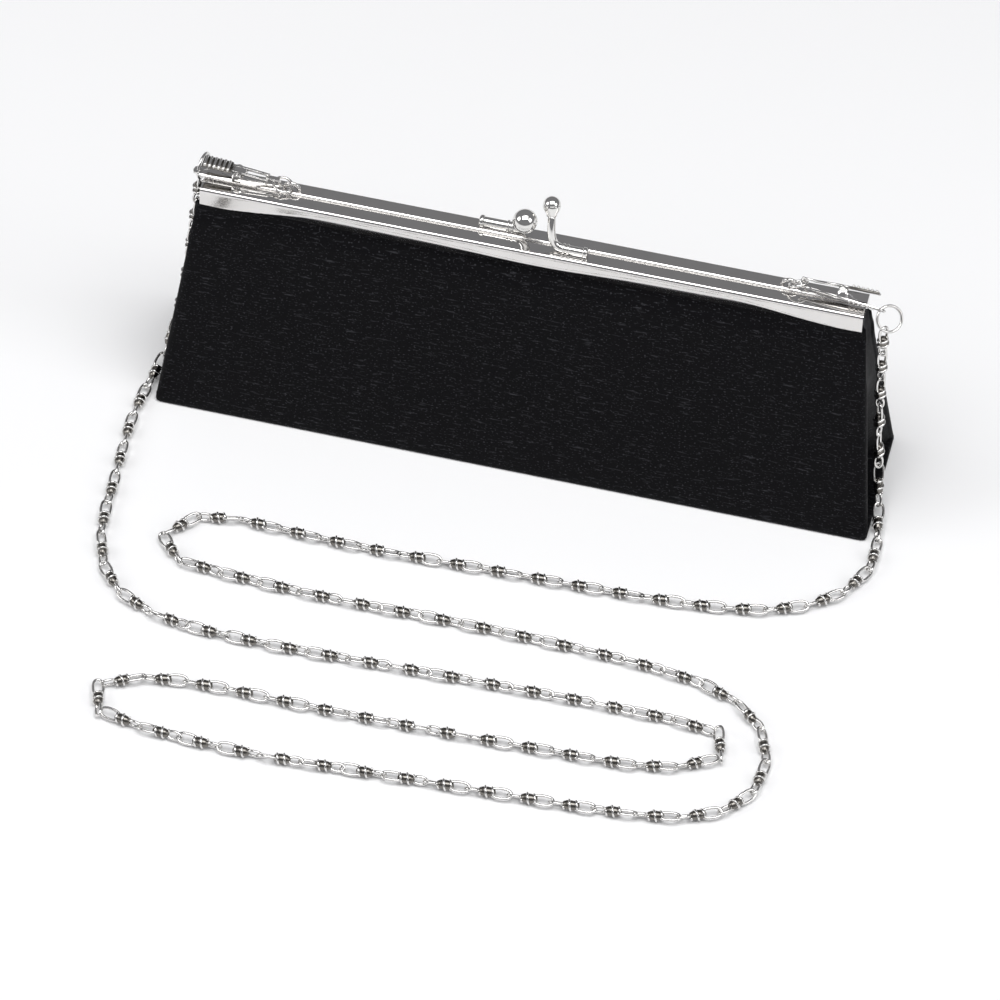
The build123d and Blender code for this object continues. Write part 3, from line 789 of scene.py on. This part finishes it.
def clasp(name, body, foot, bend, aim, stem_radius, ball, ball_radius):
    """One clasp post with its turned foot, collars and cup, and the ball in the cup.

    The stem runs level from foot to bend, then rises in one wide curve into the cup, whose axis runs from aim
    to the ball.
    """
    ball, foot, bend, aim = Vector(ball), Vector(foot), Vector(bend), Vector(aim)
    toward = (ball - aim).normalized()
    cup_low = ball - toward * (ball_radius * 0.55 + 2.0)
    path = [foot + (bend - foot) * i / 6 for i in range(6)]
    level = (bend - foot).normalized()
    path += bezier([bend, bend + level * 5.0, cup_low - toward * 5.0, cup_low], 24)
    post = Parts()
    post.add(*wire(path, stem_radius, 24))
    along = level.to_track_quat("Z", "Y").to_matrix().to_4x4()
    edge = stem_radius
    cap = [
        (0.4, -0.3), (edge * 0.7, -0.25), (edge + 0.2, 0.05), (edge + 0.4, 0.45),
        (edge + 0.4, 1.1), (edge + 0.15, 1.4), (edge - 0.1, 1.5),
    ]
    post.add(*lathe(cap), Matrix.Translation(foot) @ along)
    collar = [(edge - 0.1, -0.5), (edge + 0.3, -0.35), (edge + 0.4, 0), (edge + 0.3, 0.35), (edge - 0.1, 0.5)]
    for distance in (0.0, 1.4):
        post.add(*lathe(collar), Matrix.Translation(bend - level * distance) @ along)
    # the outside of the cup, its rim and its inside, as shares of the ball's radius
    cup = [(edge * 0.9, -0.4), (edge + 0.3, 0)]
    bowl = ((0.62, 0.75), (0.86, 1.7), (0.98, 2.7), (1.03, 3.3), (0.99, 3.55), (0.90, 3.3), (0.5, 1.6))
    cup += [(ball_radius * share, height) for share, height in bowl]
    upright = toward.to_track_quat("Z", "Y").to_matrix().to_4x4()
    post.add(*lathe(cup), Matrix.Translation(cup_low) @ upright)
    seat_low = (min(foot.x, bend.x) + 1.5, foot.y - 1.1, BAR_TOP)
    seat_high = (max(foot.x, bend.x) - 0.5, foot.y + 1.1, BAR_TOP + 1.4)
    post.add(*soft_box(seat_low, seat_high))
    piece = post.build(name + "_stem", [clasp_metal], "silver_clasp")
    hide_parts(name + "_post")
    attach(piece, body)
    knob = Parts()
    steps = 28
    profile = []
    for i in range(steps + 1):
        angle = math.pi * i / steps
        # a faint turned seam where the two pressed halves meet
        groove = 0.05 * math.exp(-(((angle - math.pi / 2) / 0.03) ** 2))
        profile.append(((ball_radius - groove) * max(0.002, math.sin(angle)), -ball_radius * math.cos(angle)))
    knob.add(*lathe(profile, 56), Matrix.Translation(ball))
    piece = knob.build(name + "_knob", [clasp_metal], "silver_clasp")
    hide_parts(name + "_ball")
    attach(piece, body)


clasp(
    "back_clasp", "bag", foot=(-18.3, 2.8, 86.7), bend=(-7.5, 2.8, 86.7), aim=(-2.9, 1.2, 91.0),
    stem_radius=1.6, ball=(-2.2, -4.0, 97.6), ball_radius=3.9,
)
clasp(
    "front_clasp", "front_frame", foot=(18.3, -2.2, 86.5), bend=(10.6, -2.2, 86.5), aim=(6.2, -1.6, 92.5),
    stem_radius=1.35, ball=(4.9, 3.4, 99.4), ball_radius=2.9,
)


# ---------------------------------------------------------------- strap clips
def clip_frame(lug_x, heading, ring_pitch, clip_pitch, clip_roll):
    """Where a clip's own axes lie: origin in its nose, X to its tail, Z to its lever. In degrees."""
    ring_length = 6.2
    lug = Matrix.Translation((lug_x, 1.6, 86.3)) @ Matrix.Rotation(math.radians(heading), 4, "Z")
    pitch = math.radians(ring_pitch)
    nose = Matrix.Translation((ring_length * math.cos(pitch), 0, ring_length * math.sin(pitch)))
    tilt = Matrix.Rotation(math.radians(clip_pitch), 4, "Y")
    return lug @ nose @ tilt @ Matrix.Rotation(math.radians(clip_roll), 4, "X")


PAD_START, PAD_END, PAD_HALF = 14.2, 23.4, 2.3
PIN_X, PIN_Z = 12.0, 1.2
LEVER_HALF, NOSE_HALF, EAR_HALF = 1.6, 0.85, 0.3  # half widths of the lever, of its nose and of an ear
PAD_LENGTH = PAD_END - PAD_START
RIB_PLACES = [PAD_START + PAD_LENGTH / 6 * (i + 0.5) for i in range(6)]
COIL_RADIUS, SPRING_WIRE = 0.76, 0.13
LOW_LEG, HIGH_LEG = -0.75, 1.95  # heights of the ends of the spring's legs

# side outlines, from the nose at x = 0 to the tail
LEVER_ARM = [(1.6, 1.0), (2.4, 1.0), (10.0, 1.9), (PAD_START, 2.3), (PAD_START, 3.1), (9.6, 2.7), (1.6, 1.65)]
LEVER_NOSE = [(-1.9, 1.0), (2.6, 1.02), (2.6, 1.75), (-1.9, 1.6)]
LEVER_BRIDGE = [(8.7, 1.75), (PAD_START, 2.3), (PAD_START, 3.1), (9.4, 2.65)]
LEVER_PAD = [
    (PAD_START - 0.3, 2.3), (PAD_END, 3.1), (PAD_END + 0.25, 3.45), (PAD_END, 3.8), (PAD_START - 0.3, 3.05),
]
LEVER_EAR = [(10.9, 2.3), (10.8, 1.2), (11.3, 0.3), (12.7, 0.3), (13.2, 1.2), (13.1, 2.3)]
PLATE_EAR = [(10.5, -1.5), (13.5, -1.5), (13.5, 1.2), (13.0, 2.3), (12.0, 2.7), (11.0, 2.3), (10.5, 1.2)]
# the plate from above: one side, the tip of its tail, and the side mirrored
PLATE_SIDE = [(-1.9, -0.8), (2.0, -0.8), (6.0, -2.3), (PAD_END, -2.3), (25.2, -1.9), (26.6, -1.2)]
PLATE = PLATE_SIDE + [(26.9, 0)] + [(x, -y) for x, y in reversed(PLATE_SIDE)]


def strip(outline, low, high):
    """A sheet-metal strip: a side outline in X and Z, from low to high in Y, its rims chamfered."""
    verts = []
    count = len(outline)
    middle = Vector((sum(p[0] for p in outline) / count, 0, sum(p[1] for p in outline) / count))
    for y, shrink in ((low, 0.97), (low + 0.12, 1.0), (high - 0.12, 1.0), (high, 0.97)):
        for x, z in outline:
            point = middle + (Vector((x, 0, z)) - middle) * shrink
            verts.append((point.x, y, point.z))
    return verts, ring_faces(4, count, False, True)


def rib(x, z, radius, half):
    """One rounded rib across a pad."""
    points = [(x, -half - 0.05, z), (x, -half + 0.2, z), (x, 0, z), (x, half - 0.2, z), (x, half + 0.05, z)]
    return wire(points, [radius * 0.5, radius, radius, radius, radius * 0.5], 10, False, (0, 0, 1))


def clip_lever(place):
    """The lever: a nose, two arms, a bridge, the upper pad with its ribs, and two ears on the pin."""
    lever = Parts()
    for low, high in ((-LEVER_HALF, -NOSE_HALF), (NOSE_HALF, LEVER_HALF)):
        lever.add(*strip(LEVER_ARM, low, high), place)
    lever.add(*strip(LEVER_NOSE, -NOSE_HALF, NOSE_HALF), place)
    lever.add(*strip(LEVER_BRIDGE, -LEVER_HALF, LEVER_HALF), place)
    # the pad takes the dark metal, painted shade under its bright ribs
    lever.add(*strip(LEVER_PAD, -PAD_HALF, PAD_HALF), place, 1)
    for ear_y in (-1.3, 1.3):
        lever.add(*strip(LEVER_EAR, ear_y - EAR_HALF, ear_y + EAR_HALF), place)
    for x in RIB_PLACES:
        lever.add(*rib(x, 3.25 + 0.7 * (x - PAD_START) / PAD_LENGTH, 0.5, PAD_HALF), place)
    return lever


def clip_plate(place):
    """The body: a plate with a hooked nose, two ears on the pin, ribs under its pad and a tail eye."""
    plate = Parts()
    middle_x = 12.0
    rings = []
    for z, shrink in ((-1.7, 0.985), (-1.62, 1.0), (-1.08, 1.0), (-1.0, 0.985)):
        rings += [(middle_x + (x - middle_x) * shrink, y * shrink, z) for x, y in PLATE]
    plate.add(rings, ring_faces(4, len(PLATE), False, True), place)
    hook = bezier([(-1.5, 0, -1.2), (-2.3, 0, -0.5), (-2.0, 0, 0.7), (-1.3, 0, 0.9)], 10)
    plate.add(*wire(hook, 0.55, 10), place)
    for ear_y in (-2.0, 2.0):
        plate.add(*strip(PLATE_EAR, ear_y - EAR_HALF, ear_y + EAR_HALF), place)
    for x in RIB_PLACES:
        plate.add(*rib(x, -1.62, 0.42, PAD_HALF), place)
    angles = [2 * math.pi * i / 20 for i in range(20)]
    eye = [(25.3 + 1.25 * math.cos(angle), 1.25 * math.sin(angle), -1.35) for angle in angles]
    plate.add(*wire(eye, 0.42, 8, True, (0, 0, 1)), place)
    return plate


def clip_spring(place):
    """The torsion spring: five turns round the pin and a leg towards each pad."""
    spring = Parts()
    turns, steps = 5, 80
    coil = []
    for i in range(steps + 1):
        t = i / steps
        angle = 2 * math.pi * turns * t
        y = NOSE_HALF * (2 * t - 1)
        coil.append((PIN_X + COIL_RADIUS * math.cos(angle), y, PIN_Z + COIL_RADIUS * math.sin(angle)))
    spring.add(*wire(coil, SPRING_WIRE, 6), place)
    for y, end_z in ((-NOSE_HALF, LOW_LEG), (NOSE_HALF, HIGH_LEG)):
        leg = [(PIN_X + COIL_RADIUS, y, PIN_Z), (15, y, (PIN_Z + end_z) / 2), (17.5, y, end_z)]
        spring.add(*wire(leg, SPRING_WIRE, 6), place)
    return spring


def clip(name, body, lever_body, place):
    """One pinch clip round its pin, which is a CAD node."""
    piece = clip_lever(place).build(name + "_lever_metal", [hardware_metal, painted_shade_metal], "silver_hardware")
    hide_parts(name + "_lever")
    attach(piece, lever_body)
    piece = clip_plate(place).build(name + "_body_metal", [hardware_metal], "silver_hardware")
    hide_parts(name + "_body")
    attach(piece, body)
    piece = clip_spring(place).build(name + "_spring_wire", [spring_metal], "spring_steel")
    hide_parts(name + "_spring")
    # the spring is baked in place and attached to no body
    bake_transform(piece)


left_place = clip_frame(lug_x=-80.5, heading=180, ring_pitch=10, clip_pitch=0.2, clip_roll=0)
right_place = clip_frame(lug_x=84.0, heading=-7, ring_pitch=25, clip_pitch=1.5, clip_roll=-50)
clip("left_clip", "left_clip", "left_lever", left_place)
clip("right_clip", "right_clip", "right_lever", right_place)


# ---------------------------------------------------------------- finish on the CAD nodes that show
NODE_LOOKS = {
    frame_metal: [
        "left_front_arm", "right_front_arm", "left_back_arm", "right_back_arm",
        "left_hinge_rivet", "right_hinge_rivet", "left_strap_lug", "right_strap_lug",
    ],
    hardware_metal: [
        "left_small_ring", "right_small_ring", "left_clip_pin", "right_clip_pin",
        "left_chain_ring", "right_chain_ring",
    ],
    board_card: ["front_board", "back_board", "base_board"],
}
for material, names in NODE_LOOKS.items():
    for node in names:
        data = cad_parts[node].data
        data.materials.clear()
        data.materials.append(material)


# ---------------------------------------------------------------- floor and light
def make_floor():
    """A plain white floor."""
    mesh = bpy.data.meshes.new("floor")
    mesh.from_pydata([(-4, -4, 0), (4, -4, 0), (4, 4, 0), (-4, 4, 0)], [], [[0, 1, 2, 3]])
    floor = bpy.data.objects.new("floor", mesh)
    scene.collection.objects.link(floor)
    material = bpy.data.materials.new("white_floor")
    shader = nodes_of(material)[-1]
    shader.inputs["Base Color"].default_value = (0.93, 0.93, 0.935, 1)
    shader.inputs["Roughness"].default_value = 0.9
    shader.inputs["Specular IOR Level"].default_value = 0.1
    mesh.materials.append(material)


def softbox(name, place, size, power, target=(0, -0.05, 0.04)):
    """A soft rectangular light that faces the target."""
    data = bpy.data.lights.new(name, "AREA")
    data.shape = "RECTANGLE"
    data.size, data.size_y = size
    data.energy = power
    lamp = bpy.data.objects.new(name, data)
    lamp.location = place
    lamp.rotation_euler = (Vector(target) - Vector(place)).to_track_quat("-Z", "Y").to_euler()
    scene.collection.objects.link(lamp)


make_floor()
softbox("top", (0.1, -0.35, 1.5), (1.4, 0.9), 18.5)
softbox("left", (-1.3, -0.5, 0.9), (0.8, 0.8), 6)
softbox("right", (1.3, -0.3, 0.9), (0.8, 0.8), 5)
world = bpy.data.worlds.new("studio")
scene.world = world
world.use_nodes = True
world.node_tree.nodes["Background"].inputs["Color"].default_value = (0.80, 0.80, 0.83, 1)
world.node_tree.nodes["Background"].inputs["Strength"].default_value = 0.28
scene.view_settings.view_transform = "Standard"
